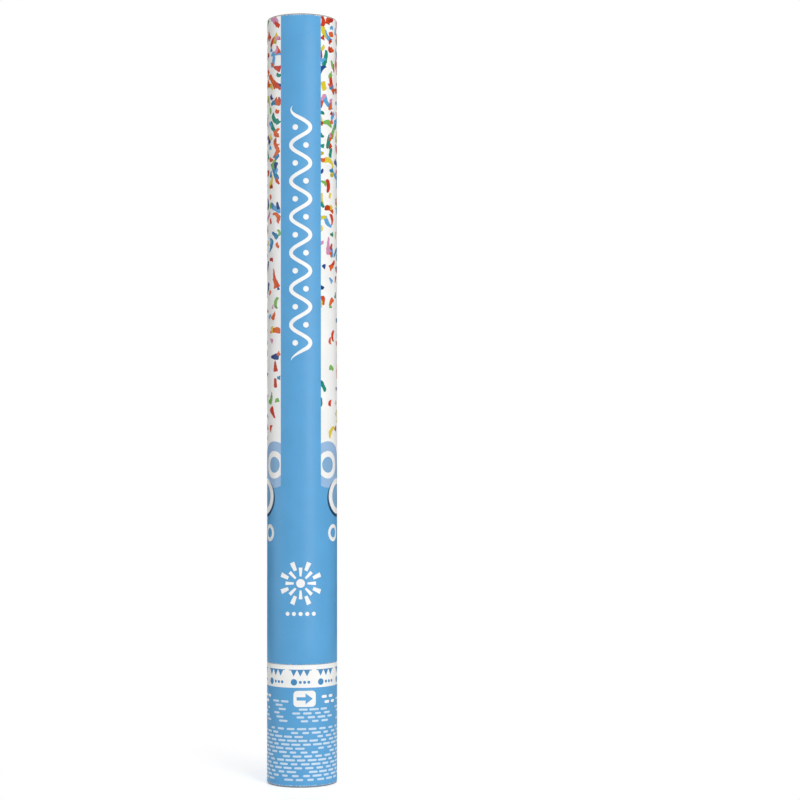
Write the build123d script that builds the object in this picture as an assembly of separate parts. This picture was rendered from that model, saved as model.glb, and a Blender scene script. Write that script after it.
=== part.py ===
from build123d import *
import math
import os

# Confetti popper: a hand-held air cannon made of two card tubes, in millimetres.
# The tube's axis is +Z and the origin is the centre of the base that it stands on.
# The barrel holds the confetti on a pusher wad, under a push-in muzzle lid.
# The grip tube below it carries an air can with a valve tower on its mouth.
# Twisting the grip turns the tower round a cross pin that the barrel's bulkhead
# keeps from turning, so the tower's helical slots lift the pin and the release
# plug, the plug's seals leave their bore, and the air drives the load out.

# Card tubes and their printed wraps
OVERALL_LENGTH = 600.0
BORE_DIAMETER = 50.0
TUBE_WALL = 2.2
WRAP_THICKNESS = 0.25
GRIP_LENGTH = 94.0
TWIST_GAP = 0.6
RIM_REVEAL = 0.8

# Fits between pieces
GLUE_FILM = 0.05
RUNNING_CLEARANCE = 0.1
SEAL_CLEARANCE = 0.02
SLOT_CLEARANCE = 0.2
LOAD_CLEARANCE = 0.4
STACK_GAP = 0.3
CUT_OVERRUN = 1.0

# Base cap, a moulded plug with ribs that carry the can
CAP_FLANGE = 1.2
CAP_FLOOR = 1.8
CAP_EDGE = 0.4
CAP_SKIRT = 10.0
CAP_WALL = 1.4
CAP_DISH_DEPTH = 0.6
CAP_DISH_MARGIN = 6.0
CAP_GATE_DIAMETER = 3.0
CAP_GATE_HEIGHT = 0.3
CAP_RIB_COUNT = 8
CAP_RIB_HEIGHT = 5.0
CAP_RIB_THICKNESS = 1.2
CAP_RIB_START = 10.0
CAP_RING_BOSS = 2.0

# Liner sleeve, glued in the grip and turning in the barrel
LINER_WALL = 1.2
LINER_END_GAP = 2.0

# Air can, with a domed base and a rolled one-inch mouth that stands above the grip
CAN_STAND = 42.6
CAN_WALL = 0.6
CAN_FOOT_RADIUS = 2.5
CAN_PAD_DIAMETER = 16.0
CAN_PAD_RISE = 7.0
CAN_DOME_CROWN = 1.0
CAN_MOUTH_DIAMETER = 25.4
CAN_CURL_DIAMETER = 3.2
CAN_NECK = 3.0

# Bands that centre the can in the liner
BAND_THICKNESS = 1.1
BAND_WIDTH = 14.0
BAND_INSET = 6.0

# Rubber bung in the can's base
BUNG_STEM_DIAMETER = 8.0
BUNG_HEAD_DIAMETER = 13.0
BUNG_HEAD = 2.0
BUNG_TAPER = 1.0
BUNG_NEEDLE_DIAMETER = 1.5
BUNG_NEEDLE_DEPTH = 1.6

# Valve tower on the can's mouth, with its gasket and ferrule
GASKET_THICKNESS = 0.8
VALVE_FLANGE = 3.0
BOSS_LENGTH = 9.0
BOSS_CLEARANCE = 0.15
SEAL_DIAMETER = 12.0
SEAL_LENGTH = 9.0
SEAL_LEAD = 2.0
TOWER_BORE = 16.0
TOWER_WALL = 3.0
TOWER_TOP_MARGIN = 2.0
FERRULE_WALL = 0.6
FERRULE_LIP = 2.2

# Cross pin and the lift that a twist gives it
PIN_DIAMETER = 3.0
PIN_CHAMFER = 0.4
PLUG_LIFT = 8.0
TWIST_ANGLE = 90.0
SLOT_MARGIN = 2.0

# Release plug and its two seals
PLUG_CLEARANCE = 0.1
PLUG_INSET = 0.5
PLUG_STEM_DIAMETER = 8.4
PLUG_HEAD_HALF = 4.0
PLUG_HEAD_CLEARANCE = 0.15
PLUG_FLUTE_COUNT = 4
PLUG_FLUTE_DIAMETER = 6.0
SEAL_SECTION = 1.8
SEAL_FIRST = 2.5
SEAL_PITCH = 3.4
GROOVE_SIDE_GAP = 0.1

# Bulkhead, glued in the barrel
HUB_WALL = 3.6
KEYWAY_DEPTH = 2.4
BULKHEAD_WALL = 1.8
WEB_THICKNESS = 2.5
BULKHEAD_RIB_COUNT = 6
BULKHEAD_RIB_THICKNESS = 1.6
BULKHEAD_RIB_RAISE = 3.0
GLUE_GROOVE_COUNT = 3
GLUE_GROOVE_DEPTH = 0.5
GLUE_GROOVE_WIDTH = 2.0

# Circlip that holds the tower in the bulkhead
CLIP_THICKNESS = 1.2
CLIP_GROOVE_DEPTH = 1.0
CLIP_STAND_OFF = 2.2
CLIP_GAP_ANGLE = 40.0
CLIP_LUG_DIAMETER = 4.4
CLIP_LUG_HOLE = 1.6
CLIP_LUG_ANGLE = 30.0

# Pusher wad
WAD_HEADROOM = 1.4
WAD_BOARD = 2.0
WAD_FOAM = 12.0
WAD_DISH_DEPTH = 3.0
WAD_LIP = 1.2

# Confetti, in bowed bundles of tissue strips that stand in layers
STRIP_LENGTH = 48.0
STRIP_WIDTH = 15.0
STRIP_BOW = 1.5
BUNDLE_THICKNESS = 3.2
BUNDLE_GAP = 0.6
ROW_PITCH = 5.4
LAYER_TURN = 52.0
HEADSPACE = 60.0
COLOURS = ("red", "blue", "yellow", "green", "pink", "violet")

# Muzzle lid, a pressed card plug faced with foil
LID_RECESS = 2.0
LID_HEIGHT = 8.0
LID_WALL = 1.0
LID_CLEARANCE = 0.15
LID_PANEL_MARGIN = 5.0
LID_PANEL_RISE = 0.8
FOIL_THICKNESS = 0.2

# Radii that follow from the bore
bore_r = BORE_DIAMETER / 2
tube_r = bore_r + TUBE_WALL
wrap_inner_r = tube_r + GLUE_FILM
wrap_r = wrap_inner_r + WRAP_THICKNESS
glued_r = bore_r - GLUE_FILM
liner_r = bore_r - RUNNING_CLEARANCE
liner_inner_r = liner_r - LINER_WALL
band_r = liner_inner_r - GLUE_FILM
can_r = band_r - BAND_THICKNESS - GLUE_FILM
load_r = bore_r - LOAD_CLEARANCE
lid_r = bore_r - LID_CLEARANCE

# Radii of the can's mouth and of the valve
mouth_r = CAN_MOUTH_DIAMETER / 2
neck_r = mouth_r + CAN_WALL
curl_r = mouth_r + CAN_CURL_DIAMETER
seal_r = SEAL_DIAMETER / 2
tower_bore_r = TOWER_BORE / 2
tower_r = tower_bore_r + TOWER_WALL
hub_bore_r = tower_r + RUNNING_CLEARANCE
hub_r = hub_bore_r + HUB_WALL
keyway_r = hub_bore_r + KEYWAY_DEPTH
pin_r = PIN_DIAMETER / 2
slot_r = pin_r + SLOT_CLEARANCE
clip_groove_r = tower_r - CLIP_GROOVE_DEPTH

# Heights, from the base plane up
barrel_z = GRIP_LENGTH + TWIST_GAP
cap_top = CAP_FLANGE + CAP_SKIRT
can_z = CAP_FLOOR + CAP_RIB_HEIGHT
can_top = GRIP_LENGTH + CAN_STAND
shoulder_r = can_r - neck_r
shoulder_z = can_top - CAN_CURL_DIAMETER / 2 - CAN_NECK - shoulder_r
valve_z = can_top + GASKET_THICKNESS
valve_top = valve_z + VALVE_FLANGE
boss_z = valve_z - BOSS_LENGTH
seal_top = boss_z + SEAL_LENGTH
hub_z = valve_top + FERRULE_WALL + STACK_GAP
pin_z = hub_z + SLOT_MARGIN + slot_r
web_z = pin_z + PLUG_LIFT + slot_r + SLOT_MARGIN
hub_top = web_z + WEB_THICKNESS
clip_z = hub_top + RUNNING_CLEARANCE
tower_top = clip_z + CLIP_THICKNESS + TOWER_TOP_MARGIN
wad_z = tower_top + WAD_HEADROOM
foam_z = wad_z + WAD_BOARD
load_z = foam_z + WAD_FOAM
liner_top = hub_z - LINER_END_GAP
lid_top = OVERALL_LENGTH - LID_RECESS
lid_z = lid_top - LID_HEIGHT


def turned(*outline):
    """A solid of revolution about the tube's axis, from an outline of (radius, height) points."""
    corners = [(radius, 0, height) for radius, height in outline]
    return revolve(make_face(Polyline(*corners, close=True)), Axis.Z)


def ring(outer, inner, low, high):
    """A plain tube between two heights."""
    return turned((inner, low), (outer, low), (outer, high), (inner, high))


def disc(radius, low, high):
    """A plain disc between two heights."""
    return turned((0, low), (radius, low), (radius, high), (0, high))


def spokes(count, start, end, low, high, thickness, first_angle=0):
    """Radial ribs of equal size, as one shape."""
    rib = Pos((start + end) / 2, 0, (low + high) / 2) * Box(end - start, thickness, high - low)
    return [Rot(0, 0, first_angle + turn * 360 / count) * rib for turn in range(count)]


def radial_rod(radius, start, end, height):
    """A rod along +X, used to cut a round hole through a wall."""
    return Pos(start, 0, height) * Rot(0, 90, 0) * Cylinder(
        radius, end - start, align=(Align.CENTER, Align.CENTER, Align.MIN)
    )


def barrel_tube():
    return ring(tube_r, bore_r, barrel_z, OVERALL_LENGTH)


def barrel_wrap():
    return ring(wrap_r, wrap_inner_r, barrel_z, OVERALL_LENGTH - RIM_REVEAL)


def grip_tube():
    return ring(tube_r, bore_r, CAP_FLANGE, GRIP_LENGTH)


def grip_wrap():
    return ring(wrap_r, wrap_inner_r, CAP_FLANGE, GRIP_LENGTH)


def base_cap():
    """A dished disc with a gate mark below, and a skirt up inside the grip tube with ribs under the can."""
    skirt_inner_r = glued_r - CAP_WALL
    dish_r = tube_r - CAP_DISH_MARGIN
    gate_r = CAP_GATE_DIAMETER / 2
    shell = turned(
        (0, CAP_DISH_DEPTH - CAP_GATE_HEIGHT),
        (gate_r, CAP_DISH_DEPTH - CAP_GATE_HEIGHT),
        (gate_r, CAP_DISH_DEPTH),
        (dish_r - CAP_DISH_DEPTH, CAP_DISH_DEPTH),
        (dish_r, 0),
        (tube_r - CAP_EDGE, 0),
        (tube_r, CAP_EDGE),
        (tube_r, CAP_FLANGE),
        (glued_r, CAP_FLANGE),
        (glued_r, cap_top - CAP_EDGE),
        (glued_r - CAP_EDGE, cap_top),
        (skirt_inner_r, cap_top),
        (skirt_inner_r, CAP_FLOOR),
        (0, CAP_FLOOR),
    )
    root_r = glued_r - CAP_WALL / 2
    shell += spokes(CAP_RIB_COUNT, CAP_RIB_START, root_r, CAP_DISH_DEPTH, can_z, CAP_RIB_THICKNESS)
    inner_ring = ring(CAP_RIB_START + CAP_RING_BOSS, CAP_RIB_START, CAP_DISH_DEPTH, can_z)
    return shell + inner_ring


def liner_sleeve():
    return ring(liner_r, liner_inner_r, cap_top, liner_top)


def can_bands():
    low = cap_top + BAND_INSET
    high = shoulder_z - BAND_INSET - BAND_WIDTH
    return [ring(band_r, band_r - BAND_THICKNESS, z, z + BAND_WIDTH) for z in (low, high)]


def air_can():
    """A drawn can: one sheet outline from the base pad to the neck, thickened inwards, with a curl."""
    foot_inner_r = can_r - 2 * CAN_FOOT_RADIUS
    foot_z = can_z + CAN_FOOT_RADIUS
    pad_r = CAN_PAD_DIAMETER / 2
    pad_z = can_z + CAN_PAD_RISE
    neck_z = shoulder_z + shoulder_r
    curl_z = can_top - CAN_CURL_DIAMETER / 2
    dome_mid = ((pad_r + foot_inner_r) / 2, 0, (pad_z + foot_z) / 2 + CAN_DOME_CROWN)
    dome_mid_above = (dome_mid[0], 0, dome_mid[2] + CAN_WALL)
    bend = math.sqrt(0.5)
    shoulder_mid = (neck_r + shoulder_r * bend, 0, shoulder_z + shoulder_r * bend)
    inner_shoulder = shoulder_r - CAN_WALL
    inner_mid = (neck_r + inner_shoulder * bend, 0, shoulder_z + inner_shoulder * bend)
    inner_foot = CAN_FOOT_RADIUS - CAN_WALL
    foot_r = can_r - CAN_FOOT_RADIUS
    stem_r = BUNG_STEM_DIAMETER / 2
    sheet = [
        Line((stem_r, 0, pad_z), (pad_r, 0, pad_z)),
        ThreePointArc((pad_r, 0, pad_z), dome_mid, (foot_inner_r, 0, foot_z)),
        ThreePointArc((foot_inner_r, 0, foot_z), (foot_r, 0, can_z), (can_r, 0, foot_z)),
        Line((can_r, 0, foot_z), (can_r, 0, shoulder_z)),
        ThreePointArc((can_r, 0, shoulder_z), shoulder_mid, (neck_r, 0, neck_z)),
        Line((neck_r, 0, neck_z), (neck_r, 0, curl_z)),
        Line((neck_r, 0, curl_z), (mouth_r, 0, curl_z)),
        Line((mouth_r, 0, curl_z), (mouth_r, 0, neck_z - CAN_WALL)),
        Line((mouth_r, 0, neck_z - CAN_WALL), (neck_r, 0, neck_z - CAN_WALL)),
        ThreePointArc((neck_r, 0, neck_z - CAN_WALL), inner_mid, (can_r - CAN_WALL, 0, shoulder_z)),
        Line((can_r - CAN_WALL, 0, shoulder_z), (can_r - CAN_WALL, 0, foot_z)),
        ThreePointArc(
            (can_r - CAN_WALL, 0, foot_z),
            (foot_r, 0, foot_z - inner_foot),
            (foot_inner_r + CAN_WALL, 0, foot_z),
        ),
        ThreePointArc((foot_inner_r + CAN_WALL, 0, foot_z), dome_mid_above, (pad_r, 0, pad_z + CAN_WALL)),
        Line((pad_r, 0, pad_z + CAN_WALL), (stem_r, 0, pad_z + CAN_WALL)),
        Line((stem_r, 0, pad_z + CAN_WALL), (stem_r, 0, pad_z)),
    ]
    body = revolve(make_face(sheet), Axis.Z)
    curl_centre = mouth_r + CAN_CURL_DIAMETER / 2
    return body + Pos(0, 0, curl_z) * Torus(curl_centre, CAN_CURL_DIAMETER / 2)


def fill_bung():
    """A rubber plug whose groove grips the hole in the can's base pad."""
    stem_r = BUNG_STEM_DIAMETER / 2 - GLUE_FILM
    head_r = BUNG_HEAD_DIAMETER / 2
    low = can_z + CAN_PAD_RISE
    high = low + CAN_WALL
    needle_r = BUNG_NEEDLE_DIAMETER / 2
    return turned(
        (0, low - BUNG_HEAD + BUNG_NEEDLE_DEPTH),
        (needle_r, low - BUNG_HEAD),
        (head_r - BUNG_TAPER, low - BUNG_HEAD),
        (head_r, low - BUNG_HEAD + BUNG_TAPER),
        (head_r, low),
        (stem_r, low),
        (stem_r, high),
        (head_r, high),
        (head_r - BUNG_TAPER, high + BUNG_HEAD),
        (0, high + BUNG_HEAD),
    )


def neck_gasket():
    return ring(curl_r, mouth_r, can_top, valve_z)


def crimp_ferrule():
    """A ring of C section, crimped over the valve flange and under the can's curl."""
    inner_r = curl_r + GLUE_FILM
    outer_r = inner_r + FERRULE_WALL
    curl_bottom = can_top - CAN_CURL_DIAMETER
    lip_r = inner_r - FERRULE_LIP
    return turned(
        (lip_r, curl_bottom - FERRULE_WALL),
        (outer_r - FERRULE_WALL / 2, curl_bottom - FERRULE_WALL),
        (outer_r, curl_bottom - FERRULE_WALL / 2),
        (outer_r, valve_top + FERRULE_WALL / 2),
        (outer_r - FERRULE_WALL / 2, valve_top + FERRULE_WALL),
        (lip_r, valve_top + FERRULE_WALL),
        (lip_r, valve_top),
        (inner_r, valve_top),
        (inner_r, curl_bottom),
        (lip_r, curl_bottom),
    )


def helical_slot():
    """The path of the cross pin through the tower's wall as the grip turns, with round ends."""
    mid_r = (tower_bore_r + tower_r) / 2
    depth = TOWER_WALL + 2 * CUT_OVERRUN
    pitch = PLUG_LIFT * 360 / TWIST_ANGLE
    path = Helix(pitch, PLUG_LIFT, mid_r, center=(0, 0, pin_z), lefthand=True)
    section = Plane(path @ 0, x_dir=(1, 0, 0), z_dir=path % 0) * Rectangle(depth, 2 * slot_r)
    track = sweep(section, path=path, is_frenet=True)
    rod = radial_rod(slot_r, mid_r - depth / 2, mid_r + depth / 2, pin_z)
    return track + rod + Pos(0, 0, PLUG_LIFT) * Rot(0, 0, -TWIST_ANGLE) * rod


def valve_tower():
    """The can's outlet: boss, flange, seal bore, and a tower with two helical slots and a clip groove."""
    boss_r = mouth_r - BOSS_CLEARANCE
    body = turned(
        (seal_r, boss_z),
        (boss_r, boss_z),
        (boss_r, valve_z),
        (curl_r, valve_z),
        (curl_r, valve_top),
        (tower_r, valve_top),
        (tower_r, clip_z),
        (clip_groove_r, clip_z),
        (clip_groove_r, clip_z + CLIP_THICKNESS),
        (tower_r, clip_z + CLIP_THICKNESS),
        (tower_r, tower_top),
        (tower_bore_r, tower_top),
        (tower_bore_r, seal_top + SEAL_LEAD),
        (seal_r, seal_top),
    )
    slot = helical_slot()
    return body - slot - Rot(0, 0, 180) * slot


def release_plug():
    """A piston with two seal grooves, a stem, and a fluted head that the cross pin goes through."""
    piston_r = seal_r - PLUG_CLEARANCE
    groove_r = seal_r - SEAL_CLEARANCE - SEAL_SECTION
    half_groove = SEAL_SECTION / 2 + GROOVE_SIDE_GAP
    low = boss_z + PLUG_INSET
    stem_r = PLUG_STEM_DIAMETER / 2
    head_r = tower_bore_r - PLUG_HEAD_CLEARANCE
    head_low = pin_z - PLUG_HEAD_HALF
    head_high = pin_z + PLUG_HEAD_HALF
    piston_top = seal_centres()[-1] + half_groove + SEAL_SECTION / 2
    body = disc(piston_r, low, piston_top) + disc(stem_r, low, head_high)
    body += disc(head_r, head_low, head_high)
    for centre in seal_centres():
        body -= ring(seal_r, groove_r, centre - half_groove, centre + half_groove)
    flute = Pos(head_r, 0, pin_z) * Cylinder(PLUG_FLUTE_DIAMETER / 2, 2 * PLUG_HEAD_HALF + CUT_OVERRUN)
    for turn in range(PLUG_FLUTE_COUNT):
        body -= Rot(0, 0, (turn + 0.5) * 360 / PLUG_FLUTE_COUNT) * flute
    return body - radial_rod(pin_r + SEAL_CLEARANCE, -tower_r, tower_r, pin_z)


def seal_centres():
    """Heights of the two seals on the plug."""
    first = boss_z + SEAL_FIRST
    return first, first + SEAL_PITCH


def plug_seals():
    section_r = SEAL_SECTION / 2
    centre_r = seal_r - SEAL_CLEARANCE - section_r
    return [Pos(0, 0, height) * Torus(centre_r, section_r) for height in seal_centres()]


def cross_pin():
    half = keyway_r - SLOT_CLEARANCE
    pin = radial_rod(pin_r, -half, half, pin_z)
    return chamfer(pin.edges().filter_by(GeomType.CIRCLE), PIN_CHAMFER)


def retaining_clip():
    """An external circlip: an open ring with two drilled lugs."""
    clip_top = clip_z + CLIP_THICKNESS
    outer_r = tower_r + CLIP_STAND_OFF
    body = ring(outer_r, clip_groove_r + GLUE_FILM, clip_z, clip_top)
    reach = outer_r / math.cos(math.radians(CLIP_GAP_ANGLE / 2)) + CUT_OVERRUN
    half_gap = math.radians(CLIP_GAP_ANGLE / 2)
    side = (reach * math.cos(half_gap), reach * math.sin(half_gap), clip_z)
    wedge = make_face(Polyline((0, 0, clip_z), side, (side[0], -side[1], clip_z), close=True))
    body -= extrude(wedge, CLIP_THICKNESS, dir=(0, 0, 1))
    for angle in (CLIP_LUG_ANGLE, -CLIP_LUG_ANGLE):
        spot = Rot(0, 0, angle) * Pos(outer_r, 0, (clip_z + clip_top) / 2)
        body += spot * Cylinder(CLIP_LUG_DIAMETER / 2, CLIP_THICKNESS)
        body -= spot * Cylinder(CLIP_LUG_HOLE / 2, CLIP_THICKNESS + CUT_OVERRUN)
    return body - disc(clip_groove_r + GLUE_FILM, clip_z - CUT_OVERRUN, clip_top + CUT_OVERRUN)


def keyways():
    """Upright grooves in the hub's bore, open below, which keep the cross pin from turning."""
    top = pin_z + PLUG_LIFT
    low = hub_z - CUT_OVERRUN
    slab = Pos(0, 0, (low + top) / 2) * Box(2 * keyway_r, 2 * slot_r, top - low)
    return slab + radial_rod(slot_r, -keyway_r, keyway_r, top)


def bulkhead():
    """An airtight web with a skirt, ribs and glue grooves, and a hub that the tower turns in."""
    skirt_inner_r = glued_r - BULKHEAD_WALL
    body = ring(glued_r, skirt_inner_r, hub_z, wad_z)
    body += ring(skirt_inner_r, hub_bore_r, web_z, hub_top)
    body += ring(hub_r, hub_bore_r, hub_z, web_z)
    root_r = glued_r - BULKHEAD_WALL / 2
    hub_root_r = hub_r - HUB_WALL / 2
    rib_z = hub_z + BULKHEAD_RIB_RAISE
    first = 180 / BULKHEAD_RIB_COUNT
    body += spokes(BULKHEAD_RIB_COUNT, hub_root_r, root_r, rib_z, web_z, BULKHEAD_RIB_THICKNESS, first)
    groove_pitch = (wad_z - hub_z) / (GLUE_GROOVE_COUNT + 1)
    for index in range(GLUE_GROOVE_COUNT):
        low = hub_z + (index + 1) * groove_pitch - GLUE_GROOVE_WIDTH / 2
        body -= ring(bore_r, glued_r - GLUE_GROOVE_DEPTH, low, low + GLUE_GROOVE_WIDTH)
    return body - keyways()


def wad_board():
    return disc(load_r, wad_z, foam_z)


def wad_foam():
    """A foam disc with a shallow dish that the confetti stands in."""
    dish_r = load_r - WAD_LIP
    return turned(
        (0, foam_z),
        (load_r, foam_z),
        (load_r, load_z + WAD_DISH_DEPTH),
        (dish_r + WAD_LIP / 2, load_z + WAD_DISH_DEPTH),
        (dish_r, load_z),
        (0, load_z),
    )


def strip_bundle():
    """A bundle of strips, bowed about its length, standing on the XY plane."""
    half = STRIP_WIDTH / 2
    back = BUNDLE_THICKNESS
    section = [
        ThreePointArc((-half, 0), (0, STRIP_BOW), (half, 0)),
        Line((half, 0), (half, back)),
        ThreePointArc((half, back), (0, STRIP_BOW + back), (-half, back)),
        Line((-half, back), (-half, 0)),
    ]
    return extrude(make_face(section), STRIP_LENGTH, dir=(0, 0, 1))


def layer_places():
    """The places of one layer's bundles: rows across the bore, each as full as the bore allows."""
    packed_r = load_r - WAD_LIP - BUNDLE_GAP
    step = STRIP_WIDTH + BUNDLE_GAP
    rows = int(packed_r // ROW_PITCH)
    places = []
    for row in range(-rows, rows + 1):
        middle = row * ROW_PITCH
        far = abs(middle) + (BUNDLE_THICKNESS + STRIP_BOW) / 2
        if far >= packed_r:
            continue
        count = int((2 * math.sqrt(packed_r**2 - far**2) + BUNDLE_GAP) // step)
        low = middle - (BUNDLE_THICKNESS + STRIP_BOW) / 2
        places += [((slot - (count - 1) / 2) * step, low) for slot in range(count)]
    return places


def confetti():
    """One group of bundles for each colour, dealt out through the layers in turn."""
    layer_step = STRIP_LENGTH + STACK_GAP
    first_z = load_z + STACK_GAP
    layers = int((lid_z - HEADSPACE - first_z) // layer_step)
    groups = {colour: [] for colour in COLOURS}
    bundle = strip_bundle()
    for layer in range(layers):
        for place, (across, along) in enumerate(layer_places()):
            colour = COLOURS[(place + layer) % len(COLOURS)]
            stand = Pos(0, 0, first_z + layer * layer_step) * Rot(0, 0, layer * LAYER_TURN)
            groups[colour].append(stand * Pos(across, along, 0) * bundle)
    return groups


def muzzle_lid():
    """A pressed card plug: a panelled disc with a skirt down into the bore."""
    skirt_inner_r = lid_r - LID_WALL
    panel_r = lid_r - LID_PANEL_MARGIN
    face_z = lid_top - FOIL_THICKNESS
    return turned(
        (0, face_z - LID_WALL),
        (panel_r - LID_PANEL_RISE, face_z - LID_WALL),
        (panel_r, face_z - LID_WALL - LID_PANEL_RISE),
        (skirt_inner_r, face_z - LID_WALL - LID_PANEL_RISE),
        (skirt_inner_r, lid_z),
        (lid_r, lid_z),
        (lid_r, face_z - LID_PANEL_RISE),
        (panel_r, face_z - LID_PANEL_RISE),
        (panel_r - LID_PANEL_RISE, face_z),
        (0, face_z),
    )


def lid_foil():
    """Foil laid over the lid's face, following its raised panel."""
    panel_r = lid_r - LID_PANEL_MARGIN
    face_z = lid_top - FOIL_THICKNESS
    return turned(
        (0, face_z),
        (panel_r - LID_PANEL_RISE, face_z),
        (panel_r, face_z - LID_PANEL_RISE),
        (lid_r, face_z - LID_PANEL_RISE),
        (lid_r, lid_top - LID_PANEL_RISE),
        (panel_r, lid_top - LID_PANEL_RISE),
        (panel_r - LID_PANEL_RISE, lid_top),
        (0, lid_top),
    )


PIECES = (
    barrel_tube,
    barrel_wrap,
    grip_tube,
    grip_wrap,
    base_cap,
    liner_sleeve,
    can_bands,
    air_can,
    fill_bung,
    neck_gasket,
    crimp_ferrule,
    valve_tower,
    release_plug,
    plug_seals,
    cross_pin,
    retaining_clip,
    bulkhead,
    wad_board,
    wad_foam,
    muzzle_lid,
    lid_foil,
)

os.makedirs("parts", exist_ok=True)
nodes = {piece.__name__: piece() for piece in PIECES}
nodes.update({f"confetti_{colour}": bundles for colour, bundles in confetti().items()})
for name, shape in nodes.items():
    solid = Compound(children=shape) if isinstance(shape, list) else shape
    export_step(solid, f"parts/{name}.step")
print(len(nodes), "nodes written")
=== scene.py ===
import functools
import math

import bmesh
import bpy
import numpy as np
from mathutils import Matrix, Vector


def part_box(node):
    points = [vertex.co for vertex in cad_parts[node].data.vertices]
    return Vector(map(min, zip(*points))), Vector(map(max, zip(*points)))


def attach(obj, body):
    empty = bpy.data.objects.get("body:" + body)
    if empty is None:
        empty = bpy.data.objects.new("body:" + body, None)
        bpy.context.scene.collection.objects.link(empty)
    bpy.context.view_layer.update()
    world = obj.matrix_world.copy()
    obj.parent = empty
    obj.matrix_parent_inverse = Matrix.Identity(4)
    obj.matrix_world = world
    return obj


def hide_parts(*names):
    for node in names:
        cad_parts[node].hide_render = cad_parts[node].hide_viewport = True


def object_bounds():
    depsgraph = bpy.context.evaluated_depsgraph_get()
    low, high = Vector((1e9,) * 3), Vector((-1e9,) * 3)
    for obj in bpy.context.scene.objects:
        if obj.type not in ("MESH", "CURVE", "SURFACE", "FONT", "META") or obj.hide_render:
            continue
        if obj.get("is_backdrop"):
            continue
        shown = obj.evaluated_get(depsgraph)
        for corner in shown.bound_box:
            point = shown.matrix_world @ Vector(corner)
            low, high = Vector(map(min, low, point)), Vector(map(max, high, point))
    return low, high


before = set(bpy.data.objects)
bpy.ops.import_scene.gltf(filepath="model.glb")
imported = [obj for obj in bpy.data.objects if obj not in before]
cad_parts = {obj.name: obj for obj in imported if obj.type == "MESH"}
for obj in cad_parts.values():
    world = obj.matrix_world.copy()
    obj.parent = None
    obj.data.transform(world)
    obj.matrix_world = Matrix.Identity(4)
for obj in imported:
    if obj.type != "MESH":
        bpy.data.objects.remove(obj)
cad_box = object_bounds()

# The looks of a confetti popper. The frame has +Z up the tube and -Y at its front. Sizes are in
# millimetres, and MM turns them to Blender's metres.
MM = 0.001
FULL_TURN = 2 * math.pi

barrel_low, barrel_high = (np.array(corner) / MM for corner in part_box("barrel_wrap"))
grip_low, grip_high = (np.array(corner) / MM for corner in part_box("grip_wrap"))
tube_low, tube_high = (np.array(corner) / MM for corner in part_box("barrel_tube"))
foil_high = np.array(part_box("lid_foil")[1]) / MM
WRAP_RADIUS = barrel_high[0]
GIRTH = FULL_TURN * WRAP_RADIUS
JOINT_HEIGHT = (grip_high[2] + barrel_low[2]) / 2

# Sizes of the CAD pieces that their boxes don't give
WRAP_THICKNESS = 0.25
TUBE_WALL = 2.2
FOIL_THICKNESS = 0.2
LID_PANEL_RADIUS = 19.85
LID_PANEL_RISE = 0.8
STRIP_LENGTH = 48.0
STRIP_WIDTH = 15.0
STRIP_BOW = 1.5
BUNDLE_THICKNESS = 3.2
BUNDLE_GAP = 0.6
ROW_PITCH = 5.4
LAYER_GAP = 0.3
LAYER_TURN = math.radians(52.0)
PACKED_RADIUS = 22.8
COLOURS = ("red", "blue", "yellow", "green", "pink", "violet")


# Shader nodes

def linear(code):
    """An sRGB hex colour as linear RGBA, by the sRGB transfer curve."""
    srgb = np.array([int(code[place:place + 2], 16) / 255 for place in (1, 3, 5)])
    bent = np.where(srgb <= 0.04045, srgb / 12.92, ((srgb + 0.055) / 1.055) ** 2.4)
    return (*bent, 1.0)


def add(tree, kind, *values, out=0, named=None, **settings):
    """Adds one shader node: settings are its properties, values fill its inputs in order, and named
    fills inputs by name or number. A socket is linked, a value is set. Returns one of its outputs."""
    made = tree.nodes.new("ShaderNode" + kind)
    for name, value in settings.items():
        setattr(made, name, value)
    for key, value in [*enumerate(values), *(named or {}).items()]:
        if isinstance(value, bpy.types.NodeSocket):
            tree.links.new(value, made.inputs[key])
        else:
            made.inputs[key].default_value = value
    return made.outputs[out] if made.outputs else None


def new_material(name):
    """An empty node material and its tree."""
    made = bpy.data.materials.new(name)
    made.use_nodes = True
    made.node_tree.nodes.clear()
    return made, made.node_tree


# The print, laid out in millimetres round the tube from the front and up from the base. The front's
# design comes again at the back.
STRIPE_MIDDLE = -1.2
STRIPE_HALF = 16.6
PANEL_FOOT = 248.5
STREAMER_FOOT, STREAMER_TOP = 329.0, 528.0
STREAMER_REACH = 7.6
STREAMER_WAVE = 28.0
STREAMER_STROKE = 3.0
STREAMER_DOT, STREAMER_DOT_SHARE = 2.2, 0.55
STREAMER_TAIL = 9.0
BURST_HEIGHT = 157.0
BURST_RAYS = 16
BURST_INNER, BURST_OUTER, BURST_STEP = 5.4, 12.2, 5.2
BURST_SLIM, BURST_BROAD = 0.8, 1.9
BURST_HEART = 3.4
BEAD_HEIGHT, BEAD_PITCH, BEAD_RADIUS = 133.5, 5.2, 1.6
BAND_FOOT = 76.7
BAND_COLUMN, BAND_MIDDLE = GIRTH / 8, -1.4
PENNANT_FOOT, PENNANT_TOP = 85.4, 90.0
PENNANT_PITCH, PENNANT_FLARE = 5.2, 0.44
PENNANT_ROW_HALF = 1.5 * PENNANT_PITCH
STRING_HALF, STRING_TOP = 9.0, 90.6
BAND_DISC_PLACE, BAND_DISC_HEIGHT, BAND_DISC_RADIUS = -5.0, 80.9, 2.5
BAND_DOT_PITCH, BAND_DOT_RADIUS = 3.3, 1.15
BADGE_HEIGHT, BADGE_HALF_WIDTH, BADGE_HALF_HEIGHT, BADGE_CORNER = 68.2, 8.8, 6.2, 3.0
ARROW_REACH, ARROW_NECK, ARROW_BAR, ARROW_HEAD = 6.3, 0.6, 2.6, 8.4
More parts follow.
